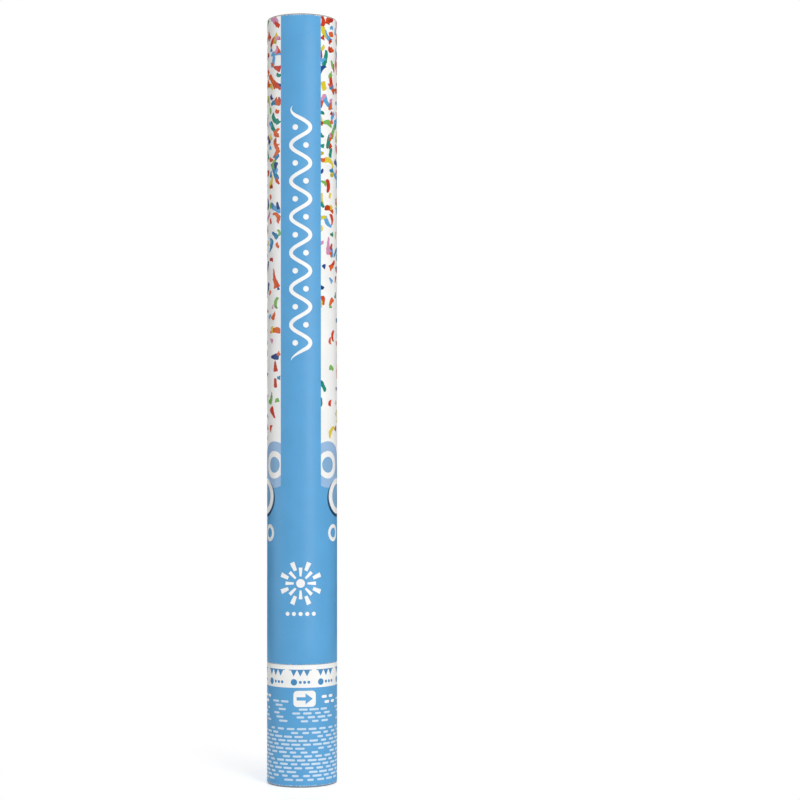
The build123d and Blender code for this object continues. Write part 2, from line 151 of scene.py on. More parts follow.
GUIDE_COLUMN, GUIDE_MIDDLE = GIRTH / 3, 2.0
# Dashes: the shares of a cell that a row steps aside by and that the half-lengths lie between, and the
# share of cells left empty
DASH_STAGGER, DASH_SHORTEST, DASH_LONGEST, DASH_MISSING = 0.37, 0.18, 0.46, 0.07
FINE_CELL, FINE_ROW, FINE_STROKE, FINE_DROP = GIRTH / 20, 3.0, 1.6, 1.5
BOLD_CELL, BOLD_ROW, BOLD_STROKE = GIRTH / 24, 4.2, 2.2
# Where dashes stand: heights, and for all but the full block the reach from the guide column's middle
BLOCK_HEIGHTS = (4.4, 46.0)
MIDDLE_HEIGHTS, MIDDLE_REACH = (49.0, 61.5), (-8.0, 24.5)
LEFT_HEIGHTS, LEFT_REACH = (49.0, 67.5), (-26.0, -13.5)
BOLD_HEIGHTS, BOLD_REACH = (63.0, 71.4), (12.8, 27.0)
PLY_LEAD, PLY_START, PLY_FURROW = 92.0, 31.0, 1.6
SEAM_PLACE = GIRTH / 2 + STRIPE_MIDDLE - STRIPE_HALF
SEAM_LINE_HALF = 0.15

PAPER = linear("#FAFAF8")
BLUE_INK = linear("#60A8DB")
DEEP_BLUE_INK = linear("#4A8FC2")
PALE_BLUE_INK = linear("#9DBFE3")
SOFT_BLUE_INK = linear("#85B0D6")
# The ink of the large ring's painted drop shadow
RING_SHADOW_INK = linear("#244F6E")
TINT_INK = linear("#CFE2F2")
# Discs from the back to the front: distance from the front stripe's middle, height, radius and ink
RINGS = (
    (23.9, 248.7, 18.0, PALE_BLUE_INK),
    (23.9, 248.5, 10.7, PAPER),
    (23.9, 248.5, 6.2, SOFT_BLUE_INK),
    (66.0, 244.0, 13.0, PALE_BLUE_INK),
    (50.0, 258.5, 7.0, SOFT_BLUE_INK),
    # Painted shadow: this navy disc, set towards the stripe and down, is the large ring's drop shadow in
    # the print
    (37.9, 222.6, 15.0, RING_SHADOW_INK),
    (38.7, 224.0, 14.0, PAPER),
    (38.9, 224.0, 9.5, SOFT_BLUE_INK),
    (30.7, 195.5, 6.7, PAPER),
    (30.7, 195.5, 3.8, BLUE_INK),
    (60.5, 214.0, 5.6, PAPER),
    (60.5, 214.0, 3.6, BLUE_INK),
    (50.0, 197.0, 2.4, PAPER),
)
CONFETTI_INKS = (
    "#CF3E22", "#2E86B5", "#DA5A22", "#7DB85A", "#B8352B", "#5EA8DC", "#DDC834",
    "#C4381F", "#D893B6", "#1E8F78", "#D24A1E", "#E0642A", "#2B4C86", "#E3CF45",
)
# Layers of bits from the back to the front: cell, half-length, half-width and seed
CONFETTI_LAYERS = (
    (30.0, 10.0, 1.8, 27.0),
    (16.5, 7.2, 2.0, 3.0),
    (13.0, 5.6, 1.8, 11.0),
    (9.5, 3.2, 1.4, 19.0),
)
# Heights between which the share of cells that hold a bit grows from the first value to the second
CONFETTI_HEIGHTS, CONFETTI_SHARES = (370.0, 490.0), (0.28, 0.95)
RAGGED_PITCH, RAGGED_REACH = 2.6, 1.5
BIT_SHIFT = 0.4
BIT_POWER = 5.0
BIT_BEND, BIT_TAPER, BIT_SHORTEST = 0.55, 0.75, 0.55
# Painted fold shade: how widely it spreads over the bits, and how much it darkens
FOLD_SPREAD, FOLD_SHADE = 2.6, 0.28
# Numbers that part one random draw of a cell from another
SEED_STEP = np.array((0.31, 0.57))
SECOND_DRAW = (0.5, 0.25, 7.5)
INK_DRAW = 17.3


def inside(tree, *limits):
    """1 where every value lies between its own two limits."""
    masks = [
        add(tree, "Math", value, (low + high) / 2, (high - low) / 2, operation="COMPARE")
        for value, low, high in limits
    ]
    return every(tree, *masks)


def every(tree, *masks):
    """1 where every mask is 1."""
    return functools.reduce(
        lambda one, other: add(tree, "Math", one, other, operation="MULTIPLY"), masks
    )


def either(tree, *masks):
    """1 where any mask is 1."""
    return functools.reduce(
        lambda one, other: add(tree, "Math", one, other, operation="MAXIMUM"), masks
    )


def disc(tree, x, y, radius):
    """1 within a radius of the point where both coordinates are zero."""
    away = add(tree, "VectorMath", add(tree, "CombineXYZ", x, y), out="Value", operation="LENGTH")
    return add(tree, "Math", away, radius, operation="LESS_THAN")


def repeated(tree, value, pitch, centre=0.0):
    """Distance from the nearest of a row of marks at an even pitch, one of them at the centre."""
    shifted = add(tree, "Math", value, centre, operation="SUBTRACT")
    return add(tree, "Math", shifted, pitch / 2, -pitch / 2, operation="WRAP")


def wrap_place(tree):
    """Distance round the wrap from the front line, by the angle about the axis, and the height. The
    distance starts and ends at the seam."""
    parts = add(tree, "SeparateXYZ", add(tree, "TexCoord", out="Object")).node.outputs
    front = add(tree, "Math", parts["Y"], -1.0, operation="MULTIPLY")
    angle = add(tree, "Math", parts["X"], front, operation="ARCTAN2")
    arc = add(tree, "Math", angle, WRAP_RADIUS, operation="MULTIPLY")
    across = add(tree, "Math", arc, SEAM_PLACE, SEAM_PLACE - GIRTH, operation="WRAP")
    up = add(tree, "Math", parts["Z"], 1 / MM, operation="MULTIPLY")
    return across, up


def confetti_bits(tree, place, cell, half_length, half_width, density, seed):
    """Printed paper bits, one to a cell of a square grid: superellipses that are moved, turned, bent
    to a parabola, narrowed to one end and left out at random. Painted shade darkens one end of some,
    as if it were folded. Returns the bits' mask and their inks."""
    slid = add(tree, "VectorMath", place, (*(SEED_STEP * seed), seed * cell))
    scaled = add(tree, "VectorMath", slid, named={3: 1 / cell}, operation="SCALE")
    corner = add(tree, "VectorMath", scaled, operation="FLOOR")
    chance = add(tree, "TexWhiteNoise", corner).node.outputs
    moves = add(tree, "SeparateXYZ", chance["Color"]).node.outputs
    other = add(tree, "TexWhiteNoise", add(tree, "VectorMath", corner, SECOND_DRAW), out="Color")
    forms = add(tree, "SeparateXYZ", other).node.outputs
    local = add(tree, "VectorMath", scaled, operation="FRACTION")
    shift = (-BIT_SHIFT, -BIT_SHIFT, 0.0)
    spread = add(tree, "VectorMath", chance["Color"], shift, local, operation="MULTIPLY_ADD")
    middle = (1 - BIT_SHIFT) / 2
    centred = add(tree, "VectorMath", spread, (-middle, -middle, 0.0))
    sized = add(tree, "VectorMath", centred, named={3: cell}, operation="SCALE")
    turn = add(tree, "Math", chance["Value"], FULL_TURN, operation="MULTIPLY")
    turned_place = add(tree, "VectorRotate", sized, named={"Angle": turn}, rotation_type="Z_AXIS")
    axes = add(tree, "SeparateXYZ", turned_place).node.outputs
    most_bend = BIT_BEND / half_length
    bend = add(tree, "MapRange", forms["X"], 0.0, 1.0, -most_bend, most_bend)
    parabola = add(tree, "Math", axes["Y"], 2.0, operation="POWER")
    bow = add(tree, "Math", parabola, bend, axes["X"], operation="MULTIPLY_ADD")
    half = add(tree, "MapRange", forms["Z"], 0.0, 1.0, BIT_SHORTEST * half_length, half_length)
    most_taper = BIT_TAPER * half_width
    taper = add(tree, "MapRange", forms["Y"], 0.0, 1.0, -most_taper, most_taper)
    share = add(tree, "Math", axes["Y"], half, operation="DIVIDE")
    width = add(tree, "Math", share, taper, half_width, operation="MULTIPLY_ADD")
    powers = [
        add(tree, "Math", add(tree, "Math", part, operation="ABSOLUTE"), BIT_POWER, operation="POWER")
        for part in (share, add(tree, "Math", bow, width, operation="DIVIDE"))
    ]
    whole = add(tree, "Math", add(tree, "Math", *powers), 1.0, operation="LESS_THAN")
    kept = add(tree, "Math", moves["Z"], density, operation="LESS_THAN")
    drawn = add(tree, "Math", moves["X"], INK_DRAW, operation="MULTIPLY")
    inks = add(tree, "ValToRGB", add(tree, "Math", drawn, operation="FRACT"))
    stops = inks.node.color_ramp
    stops.interpolation = "CONSTANT"
    for number, code in enumerate(CONFETTI_INKS):
        start = number / len(CONFETTI_INKS)
        stop = stops.elements[number] if number < 2 else stops.elements.new(start)
        stop.position = start
        stop.color = linear(code)
    # Painted shade: one end of some bits is darkened, as if the bit were folded
    fold = add(tree, "Math", moves["Y"], FOLD_SPREAD, operation="MULTIPLY")
    fold_shaded_end = add(tree, "Math", share, fold, operation="GREATER_THAN")
    tone = add(tree, "Math", fold_shaded_end, -FOLD_SHADE, 1.0, operation="MULTIPLY_ADD")
    return every(tree, whole, kept), add(tree, "VectorMath", inks, named={3: tone}, operation="SCALE")


def confetti_panel(tree, across, up):
    """White paper with printed confetti, dense at the muzzle and sparse lower down. A slow noise bends
    the bits' edges, as torn tissue has them."""
    flat = add(tree, "CombineXYZ", across, up)
    ragged = add(tree, "TexNoise", flat, named={"Scale": 1 / RAGGED_PITCH, "Detail": 1.0}, out="Color")
    reach = (RAGGED_REACH, RAGGED_REACH, 0.0)
    place = add(tree, "VectorMath", ragged, reach, flat, operation="MULTIPLY_ADD")
    density = add(tree, "MapRange", up, *CONFETTI_HEIGHTS, *CONFETTI_SHARES)
    colour = PAPER
    for cell, half_length, half_width, seed in CONFETTI_LAYERS:
        mask, ink = confetti_bits(tree, place, cell, half_length, half_width, density, seed)
        colour = add(tree, "Mix", named={0: mask, 6: colour, 7: ink}, out=2, data_type="RGBA")
    return colour


def ring_plates(tree, aside, up):
    """The rings beside the stripe, as discs laid on one another: their masks with their inks."""
    for middle, height, radius, ink in RINGS:
        x = add(tree, "Math", aside, middle, operation="SUBTRACT")
        y = add(tree, "Math", up, height, operation="SUBTRACT")
        yield disc(tree, x, y, radius), ink


def streamer(tree, x, up):
    """A curling streamer, a sine wave whose stroke is even square to its run and tapers at both ends,
    with a dot in every bend."""
    phase = add(tree, "Math", up, FULL_TURN / STREAMER_WAVE, operation="MULTIPLY")
    sine = add(tree, "Math", phase, operation="SINE")
    slope = add(tree, "Math", phase, operation="COSINE")
    steep = STREAMER_REACH * FULL_TURN / STREAMER_WAVE
    squared = add(tree, "Math", slope, 2.0, operation="POWER")
    run = add(tree, "Math", squared, steep**2, 1.0, operation="MULTIPLY_ADD")
    slant = add(tree, "Math", run, operation="SQRT")
    middle = (STREAMER_FOOT + STREAMER_TOP) / 2
    half = (STREAMER_TOP - STREAMER_FOOT) / 2
    from_middle = add(tree, "Math", up, middle, operation="SUBTRACT")
    far = add(tree, "Math", from_middle, operation="ABSOLUTE")
    stroke = add(tree, "MapRange", far, half - STREAMER_TAIL, half, STREAMER_STROKE / 2, 0.0)
    reach = add(tree, "Math", slant, stroke, operation="MULTIPLY")
    off = add(tree, "Math", sine, -STREAMER_REACH, x, operation="MULTIPLY_ADD")
    aside = add(tree, "Math", off, operation="ABSOLUTE")
    ribbon = add(tree, "Math", aside, reach, operation="LESS_THAN")
    side = add(tree, "Math", sine, operation="SIGN")
    dot_x = add(tree, "Math", side, STREAMER_DOT_SHARE * STREAMER_REACH, x, operation="MULTIPLY_ADD")
    dot_y = repeated(tree, up, STREAMER_WAVE / 2, STREAMER_WAVE / 4)
    whole = inside(tree, (up, STREAMER_FOOT + STREAMER_TAIL, STREAMER_TOP - STREAMER_TAIL))
    return either(tree, ribbon, every(tree, disc(tree, dot_x, dot_y, STREAMER_DOT), whole))


def burst(tree, x, up):
    """A burst of strips that point out from one centre and widen outwards, near and far in turn."""
    y = add(tree, "Math", up, BURST_HEIGHT, operation="SUBTRACT")
    out = add(tree, "VectorMath", add(tree, "CombineXYZ", x, y), out="Value", operation="LENGTH")
    angle = add(tree, "Math", x, y, operation="ARCTAN2")
    turn = add(tree, "Math", angle, BURST_RAYS / FULL_TURN, 0.5, operation="MULTIPLY_ADD")
    offset = add(tree, "Math", add(tree, "Math", turn, operation="FRACT"), 0.5, operation="SUBTRACT")
    arc = add(tree, "Math", add(tree, "Math", offset, operation="ABSOLUTE"), out, operation="MULTIPLY")
    wide = add(tree, "MapRange", out, BURST_INNER, BURST_OUTER + BURST_STEP, BURST_SLIM, BURST_BROAD)
    reach = add(tree, "Math", wide, BURST_RAYS / FULL_TURN, operation="MULTIPLY")
    thin = add(tree, "Math", arc, reach, operation="LESS_THAN")
    odd = add(tree, "Math", add(tree, "Math", turn, operation="FLOOR"), 2.0, operation="FLOORED_MODULO")
    nearer = add(tree, "Math", odd, -BURST_STEP, out, operation="MULTIPLY_ADD")
    rays = every(tree, thin, inside(tree, (nearer, BURST_INNER, BURST_OUTER)))
    return either(tree, rays, add(tree, "Math", out, BURST_HEART, operation="LESS_THAN"))


def bead_row(tree, x, up, height, pitch, radius, first, last):
    """A level row of dots at an even pitch, from the first place to the last."""
    level = add(tree, "Math", up, height, operation="SUBTRACT")
    dots = disc(tree, repeated(tree, x, pitch), level, radius)
    return every(tree, dots, inside(tree, (x, first - pitch / 2, last + pitch / 2)))


def dash_rows(tree, across, up, cell, row, thickness):
    """Rows of dashes with round ends, which are the points near a level segment. A cell holds one dash
    of a random length, or none. Returns the dashes' mask and the places of their middles."""
    line = add(tree, "Math", up, row, operation="DIVIDE")
    number = add(tree, "Math", line, operation="FLOOR")
    shift = add(tree, "Math", number, DASH_STAGGER * cell, operation="MULTIPLY")
    run = add(tree, "Math", add(tree, "Math", across, shift), cell, operation="DIVIDE")
    column = add(tree, "Math", run, operation="FLOOR")
    chances = add(tree, "TexWhiteNoise", add(tree, "CombineXYZ", column, number)).node.outputs
    shortest = DASH_SHORTEST * cell
    longest = DASH_LONGEST * cell - thickness / 2
    half = add(tree, "MapRange", chances["Value"], DASH_MISSING, 1.0, shortest, longest)
    middle = add(tree, "Math", add(tree, "Math", column, 0.5), cell, operation="MULTIPLY")
    place = add(tree, "Math", middle, shift, operation="SUBTRACT")
    aside = add(tree, "Math", across, place, operation="SUBTRACT")
    far = add(tree, "Math", aside, operation="ABSOLUTE")
    over = add(tree, "Math", far, half, operation="SUBTRACT")
    past = add(tree, "Math", over, 0.0, operation="MAXIMUM")
    dash = disc(tree, past, repeated(tree, up, row, row / 2), thickness / 2)
    kept = add(tree, "Math", chances["Value"], DASH_MISSING, operation="GREATER_THAN")
    return every(tree, dash, kept), place


def band_marks(tree, across, up):
    """Marks on the grip's white band: in every column, three pennants on a string over a disc and
    three dots."""
    x = repeated(tree, across, BAND_COLUMN, BAND_MIDDLE)
    aside = add(tree, "Math", repeated(tree, x, PENNANT_PITCH), operation="ABSOLUTE")
    flare = add(tree, "MapRange", up, PENNANT_FOOT, PENNANT_TOP, 0.0, PENNANT_FLARE * PENNANT_PITCH)
    row = inside(tree, (x, -PENNANT_ROW_HALF, PENNANT_ROW_HALF), (up, PENNANT_FOOT, PENNANT_TOP))
    pennants = every(tree, add(tree, "Math", aside, flare, operation="LESS_THAN"), row)
    string = inside(tree, (x, -STRING_HALF, STRING_HALF), (up, PENNANT_TOP, STRING_TOP))
    disc_x = add(tree, "Math", x, BAND_DISC_PLACE, operation="SUBTRACT")
    disc_y = add(tree, "Math", up, BAND_DISC_HEIGHT, operation="SUBTRACT")
    spot = disc(tree, disc_x, disc_y, BAND_DISC_RADIUS)
    last = 2 * BAND_DOT_PITCH
    dots = bead_row(tree, x, up, BAND_DISC_HEIGHT, BAND_DOT_PITCH, BAND_DOT_RADIUS, 0.0, last)
    return either(tree, pennants, string, spot, dots)


def twist_badge(tree, x, up):
    """A rounded badge and, on it, an arrow that points the way the grip turns: a bar, and a head that
    narrows to its tip. Returns the badge's mask and the arrow's."""
    y = add(tree, "Math", up, BADGE_HEIGHT, operation="SUBTRACT")
    over = []
    for value, half in ((x, BADGE_HALF_WIDTH), (y, BADGE_HALF_HEIGHT)):
        far = add(tree, "Math", value, operation="ABSOLUTE")
        past = add(tree, "Math", far, half - BADGE_CORNER, operation="SUBTRACT")
        over.append(add(tree, "Math", past, 0.0, operation="MAXIMUM"))
    bar = inside(tree, (x, -ARROW_REACH, ARROW_NECK), (y, -ARROW_BAR / 2, ARROW_BAR / 2))
    width = add(tree, "MapRange", x, ARROW_NECK, ARROW_REACH, ARROW_HEAD / 2, 0.0)
    slim = add(tree, "Math", add(tree, "Math", y, operation="ABSOLUTE"), width, operation="LESS_THAN")
    head = every(tree, slim, inside(tree, (x, ARROW_NECK, ARROW_REACH)))
    return disc(tree, *over, BADGE_CORNER), either(tree, bar, head)


def guide_rows(tree, across, up):
    """The grip's rows of dashes: a full block, two narrow columns over it, and bold ones beside the
    badge. Returns the mask of the fine dashes and that of the bold ones."""
    lifted = add(tree, "Math", up, FINE_DROP)
    fine, fine_place = dash_rows(tree, across, lifted, FINE_CELL, FINE_ROW, FINE_STROKE)
    bold, bold_place = dash_rows(tree, across, up, BOLD_CELL, BOLD_ROW, BOLD_STROKE)
    fine_x = repeated(tree, fine_place, GUIDE_COLUMN, GUIDE_MIDDLE)
    bold_x = repeated(tree, bold_place, GUIDE_COLUMN, GUIDE_MIDDLE)
    areas = either(
        tree,
        inside(tree, (up, *BLOCK_HEIGHTS)),
        inside(tree, (up, *MIDDLE_HEIGHTS), (fine_x, *MIDDLE_REACH)),
        inside(tree, (up, *LEFT_HEIGHTS), (fine_x, *LEFT_REACH)),
    )
    beside = inside(tree, (up, *BOLD_HEIGHTS), (bold_x, *BOLD_REACH))
    return every(tree, fine, areas), every(tree, bold, beside)


def ply_edge(tree, across, up):
    """The edge of the board's outer ply as it shows through the paper, a shallow furrow along a helix:
    0 in the furrow and 1 beside it."""
    climb = add(tree, "Math", across, -PLY_LEAD / GIRTH, up, operation="MULTIPLY_ADD")
    far = add(tree, "Math", repeated(tree, climb, PLY_LEAD, PLY_START), operation="ABSOLUTE")
    return add(tree, "MapRange", far, 0.0, PLY_FURROW, interpolation_type="SMOOTHSTEP")


# The range that nearly all of a noise's values lie in
NOISE_RANGE = (0.3, 0.7)
# Sizes of the paper's mottle and fibre, and the depths of its bumps. Real paper fibre is finer, and is
# drawn as coarse as it needs to show.
MOTTLE_SIZE, PAPER_FIBRE, PAPER_FIBRE_DEPTH, FURROW_DEPTH = 16.0, 0.8, 0.05, 0.2
MOTTLE_TONES, FILM_ROUGHNESS = (0.97, 1.02), (0.38, 0.46)
FILM_IOR, FILM_SPECULAR = 1.47, 0.2
# The rub on cut edges: how fast it fades with distance, where the fibre breaks it up, and its most
RUB_FADE, RUB_LIMITS, RUB_MOST = 0.35, (0.52, 0.62), 0.7


def printed_paper():
    """Offset-printed art paper under a satin film. It shows even ink with a faint mottle, a broad soft
    gloss, a little fibre, the board's ply edge, and white paper where its cut edges are rubbed."""
    made, tree = new_material("film_laminated_art_paper")
    across, up = wrap_place(tree)
    stripe = repeated(tree, across, GIRTH / 2, STRIPE_MIDDLE)
    fine_dashes, bold_dashes = guide_rows(tree, across, up)
    badge, arrow = twist_badge(tree, repeated(tree, across, GUIDE_COLUMN, GUIDE_MIDDLE), up)
    last_bead = 2 * BEAD_PITCH
    beads = bead_row(tree, stripe, up, BEAD_HEIGHT, BEAD_PITCH, BEAD_RADIUS, -last_bead, last_bead)
    seam = repeated(tree, across, GIRTH, SEAM_PLACE)
    aside = add(tree, "Math", repeated(tree, across, GIRTH, STRIPE_MIDDLE), operation="ABSOLUTE")
    plates = (
        (add(tree, "Math", up, PANEL_FOOT, operation="LESS_THAN"), BLUE_INK),
        *ring_plates(tree, aside, up),
        (inside(tree, (stripe, -STRIPE_HALF, STRIPE_HALF)), BLUE_INK),
        (streamer(tree, stripe, up), PAPER),
        (burst(tree, stripe, up), PAPER),
        (beads, PAPER),
        (inside(tree, (up, BAND_FOOT, JOINT_HEIGHT)), PAPER),
        (band_marks(tree, across, up), DEEP_BLUE_INK),
        (fine_dashes, TINT_INK),
        (bold_dashes, PAPER),
        (badge, PAPER),
        (arrow, BLUE_INK),
        (inside(tree, (seam, -SEAM_LINE_HALF, SEAM_LINE_HALF)), PAPER),
    )
    colour = confetti_panel(tree, across, up)
    for mask, ink in plates:
        colour = add(tree, "Mix", named={0: mask, 6: colour, 7: ink}, out=2, data_type="RGBA")

    place = add(tree, "TexCoord", out="Object")
    mottle = add(tree, "TexNoise", place, named={"Scale": 1 / (MOTTLE_SIZE * MM), "Detail": 4.0})
    tone = add(tree, "MapRange", mottle, *NOISE_RANGE, *MOTTLE_TONES)
    colour = add(tree, "VectorMath", colour, named={3: tone}, operation="SCALE")
    fibre = add(tree, "TexNoise", place, named={"Scale": 1 / (PAPER_FIBRE * MM), "Detail": 3.0})
    cut_ends = (grip_low[2], JOINT_HEIGHT, barrel_high[2])
    heights = [add(tree, "Math", up, end, operation="SUBTRACT") for end in cut_ends]
    gaps = [add(tree, "Math", height, operation="ABSOLUTE") for height in heights]
    nearest = functools.reduce(
        lambda one, other: add(tree, "Math", one, other, operation="MINIMUM"), gaps
    )
    worn = add(tree, "Math", nearest, RUB_FADE, fibre, operation="MULTIPLY_ADD")
    rub = add(tree, "MapRange", worn, *RUB_LIMITS, RUB_MOST, 0.0)
    colour = add(tree, "Mix", named={0: rub, 6: colour, 7: PAPER}, out=2, data_type="RGBA")
    rough = add(tree, "MapRange", mottle, *NOISE_RANGE, *FILM_ROUGHNESS)
    edge = ply_edge(tree, across, up)
    furrow = add(tree, "Bump", named={"Strength": 0.5, "Distance": FURROW_DEPTH * MM, "Height": edge})
    tooth = {"Strength": 0.1, "Distance": PAPER_FIBRE_DEPTH * MM, "Height": fibre, "Normal": furrow}
    look = {
        "Base Color": colour,
        "Roughness": rough,
        "Normal": add(tree, "Bump", named=tooth),
        "IOR": FILM_IOR,
        "Specular IOR Level": FILM_SPECULAR,
    }
    add(tree, "OutputMaterial", add(tree, "BsdfPrincipled", named=look))
    return made


# Other materials, with the sizes of their grain in millimetres and its part in shade and gloss. The
# fibres, the mould's grain and the drawn lines are really finer, and are as coarse as they need to show.
BOARD_FLATTENING, BOARD_SHARES = (1.0, 1.0, 0.4), (0.75, 1.25)
GLUE_SHARE, GLUE_SHADE = 0.22, 0.72
FLOW_SIZE, MOULD_GRAIN_DEPTH = 18.0, 0.03
DULLER_PLASTIC, GLOSSIER_PLASTIC = 0.06, 0.05
DULLER_METAL, GLOSSIER_METAL = 0.08, 0.06
METAL_LINE_DEPTH = 0.02
BLOOM_SIZE, BLOOM_DEPTH = 2.5, 0.03
FOAM_CELL, FOAM_CELL_DEPTH = 1.4, 0.25
CREASE_SIZE, CREASE_DEPTH, TISSUE_FIBRE, TISSUE_FIBRE_SHARE = 4.0, 0.3, 0.7, 0.3


def board(name, light, dark, fibre_mm, roughness, depth_mm, ply_mm):
    """Paper board: short flattened fibres of two shades with a soft tooth, and on a cut edge the thin
    dark glue lines between its plies, which are rings round the tube's axis."""
    made, tree = new_material(name)
    place = add(tree, "TexCoord", out="Object")
    flattened = add(tree, "Mapping", place, named={"Scale": BOARD_FLATTENING})
    fine = {"Scale": 1 / (fibre_mm * MM), "Detail": 6.0, "Roughness": 0.65}
    fibre = add(tree, "TexNoise", flattened, named=fine)
    fleck = add(tree, "TexNoise", place, named={"Scale": 1 / (3 * fibre_mm * MM), "Detail": 2.0})
    shares = add(tree, "MapRange", add(tree, "Math", fibre, fleck), *BOARD_SHARES)
    shades = {0: shares, 6: linear(dark), 7: linear(light)}
    colour = add(tree, "Mix", named=shades, out=2, data_type="RGBA")
    flat = add(tree, "VectorMath", place, (1.0, 1.0, 0.0), operation="MULTIPLY")
    radius = add(tree, "VectorMath", flat, out="Value", operation="LENGTH")
    plies = add(tree, "Math", radius, 1 / (ply_mm * MM), operation="MULTIPLY")
    ply = add(tree, "Math", plies, operation="FRACT")
    glue = add(tree, "MapRange", ply, 0.0, GLUE_SHARE, GLUE_SHADE, 1.0)
    colour = add(tree, "VectorMath", colour, named={3: glue}, operation="SCALE")
    bump = add(tree, "Bump", named={"Strength": 0.5, "Distance": depth_mm * MM, "Height": fibre})
    look = {"Base Color": colour, "Roughness": roughness, "Normal": bump}
    add(tree, "OutputMaterial", add(tree, "BsdfPrincipled", named=look))
    return made


def moulded(name, light, dark, roughness, grain_mm):
    """Injection-moulded plastic: the mould's fine eroded grain, and slow changes of shade and gloss
    where the melt flowed."""
    made, tree = new_material(name)
    place = add(tree, "TexCoord", out="Object")
    grain = add(tree, "TexNoise", place, named={"Scale": 1 / (grain_mm * MM), "Detail": 3.0})
    flow = add(tree, "TexNoise", place, named={"Scale": 1 / (FLOW_SIZE * MM), "Detail": 2.0})
    shades = {0: flow, 6: linear(dark), 7: linear(light)}
    colour = add(tree, "Mix", named=shades, out=2, data_type="RGBA")
    gloss = (roughness - GLOSSIER_PLASTIC, roughness + DULLER_PLASTIC)
    rough = add(tree, "MapRange", flow, *NOISE_RANGE, *gloss)
    eroded = {"Strength": 0.25, "Distance": MOULD_GRAIN_DEPTH * MM, "Height": grain}
    bump = add(tree, "Bump", named=eroded)
    look = {"Base Color": colour, "Roughness": rough, "Normal": bump, "IOR": 1.5}
    add(tree, "OutputMaterial", add(tree, "BsdfPrincipled", named=look))
    return made


def drawn_metal(name, light, dark, roughness, line_mm, stretch):
    """Drawn or rolled metal: fine lines along the direction of work, which vary its gloss."""
    made, tree = new_material(name)
    place = add(tree, "TexCoord", out="Object")
    lines = add(tree, "Mapping", place, named={"Scale": stretch})
    grain = add(tree, "TexNoise", lines, named={"Scale": 1 / (line_mm * MM), "Detail": 4.0})
    shades = {0: grain, 6: linear(dark), 7: linear(light)}
    colour = add(tree, "Mix", named=shades, out=2, data_type="RGBA")
    gloss = (roughness - GLOSSIER_METAL, roughness + DULLER_METAL)
    rough = add(tree, "MapRange", grain, *NOISE_RANGE, *gloss)
    bump = add(tree, "Bump", named={"Strength": 0.2, "Distance": METAL_LINE_DEPTH * MM, "Height": grain})
    look = {"Base Color": colour, "Roughness": rough, "Normal": bump, "Metallic": 1.0}
    add(tree, "OutputMaterial", add(tree, "BsdfPrincipled", named=look))
    return made


def nitrile_rubber():
    """Moulded nitrile rubber: near black and dull, with a bloom of paler dust."""
    made, tree = new_material("moulded_nitrile_rubber")
    place = add(tree, "TexCoord", out="Object")
    bloom = add(tree, "TexNoise", place, named={"Scale": 1 / (BLOOM_SIZE * MM), "Detail": 5.0})
    shades = {0: bloom, 6: linear("#161616"), 7: linear("#2B2A29")}
    colour = add(tree, "Mix", named=shades, out=2, data_type="RGBA")
    bump = add(tree, "Bump", named={"Strength": 0.3, "Distance": BLOOM_DEPTH * MM, "Height": bloom})
    look = {"Base Color": colour, "Roughness": 0.72, "Normal": bump}
    add(tree, "OutputMaterial", add(tree, "BsdfPrincipled", named=look))
    return made


def expanded_foam():
    """Expanded polyethylene foam: white, with cut cells that show as small round pits, each painted
    darker towards its middle as shade.
    """
    made, tree = new_material("expanded_polyethylene_foam")
    place = add(tree, "TexCoord", out="Object")
    cells = add(tree, "TexVoronoi", place, named={"Scale": 1 / (FOAM_CELL * MM)}, out="Distance")
    # Painted shade: the pits darken towards their middles, where the bump lies deepest
    shades = {0: cells, 6: linear("#DADAD4"), 7: linear("#F4F3EE")}
    colour = add(tree, "Mix", named=shades, out=2, data_type="RGBA")
    bump = add(tree, "Bump", named={"Strength": 0.6, "Distance": FOAM_CELL_DEPTH * MM, "Height": cells})
    look = {"Base Color": colour, "Roughness": 0.8, "Normal": bump}
    add(tree, "OutputMaterial", add(tree, "BsdfPrincipled", named=look))
    return made


def dyed_tissue(colour_name, light, dark):
    """Dyed tissue paper: matt and thin, with creases whose hollows are painted darker and whose ridges
    lighter as shade, and loose fibre.
    """
    made, tree = new_material("dyed_tissue_" + colour_name)
    place = add(tree, "TexCoord", out="Object")
    creased = {"Scale": 1 / (CREASE_SIZE * MM), "Detail": 5.0, "Distortion": 0.6}
    crease = add(tree, "TexNoise", place, named=creased)
    fibre = add(tree, "TexNoise", place, named={"Scale": 1 / (TISSUE_FIBRE * MM), "Detail": 2.0})
    shares = add(tree, "MapRange", crease, *NOISE_RANGE)
    # Painted shade: the creases' hollows take the dark tone and their ridges the light one
    shades = {0: shares, 6: linear(dark), 7: linear(light)}
    colour = add(tree, "Mix", named=shades, out=2, data_type="RGBA")
    height = add(tree, "Math", fibre, TISSUE_FIBRE_SHARE, crease, operation="MULTIPLY_ADD")
    bump = add(tree, "Bump", named={"Strength": 0.4, "Distance": CREASE_DEPTH * MM, "Height": height})
    look = {"Base Color": colour, "Roughness": 0.85, "Normal": bump, "Specular IOR Level": 0.25}
    add(tree, "OutputMaterial", add(tree, "BsdfPrincipled", named=look))
    return made


# Meshes
MERGE_DISTANCE = 1e-4
SHARP_ANGLE = math.radians(40)
CORNER_STEPS = 4
# The name of a piece's own flat map
FLAT_MAP = "OFBake"
SHEET_MARGIN = 0.006


def grid_quads(rows, columns, close_rows, close_columns):
    """The corners of a grid's cells, where a closed side joins its last line to its first."""
    index = np.arange(rows * columns).reshape(rows, columns)
    if close_rows:
        index = np.vstack([index, index[:1]])
    if close_columns:
        index = np.hstack([index, index[:, :1]])
    return np.stack([index[:-1, :-1], index[:-1, 1:], index[1:, 1:], index[1:, :-1]], -1).reshape(-1, 4)


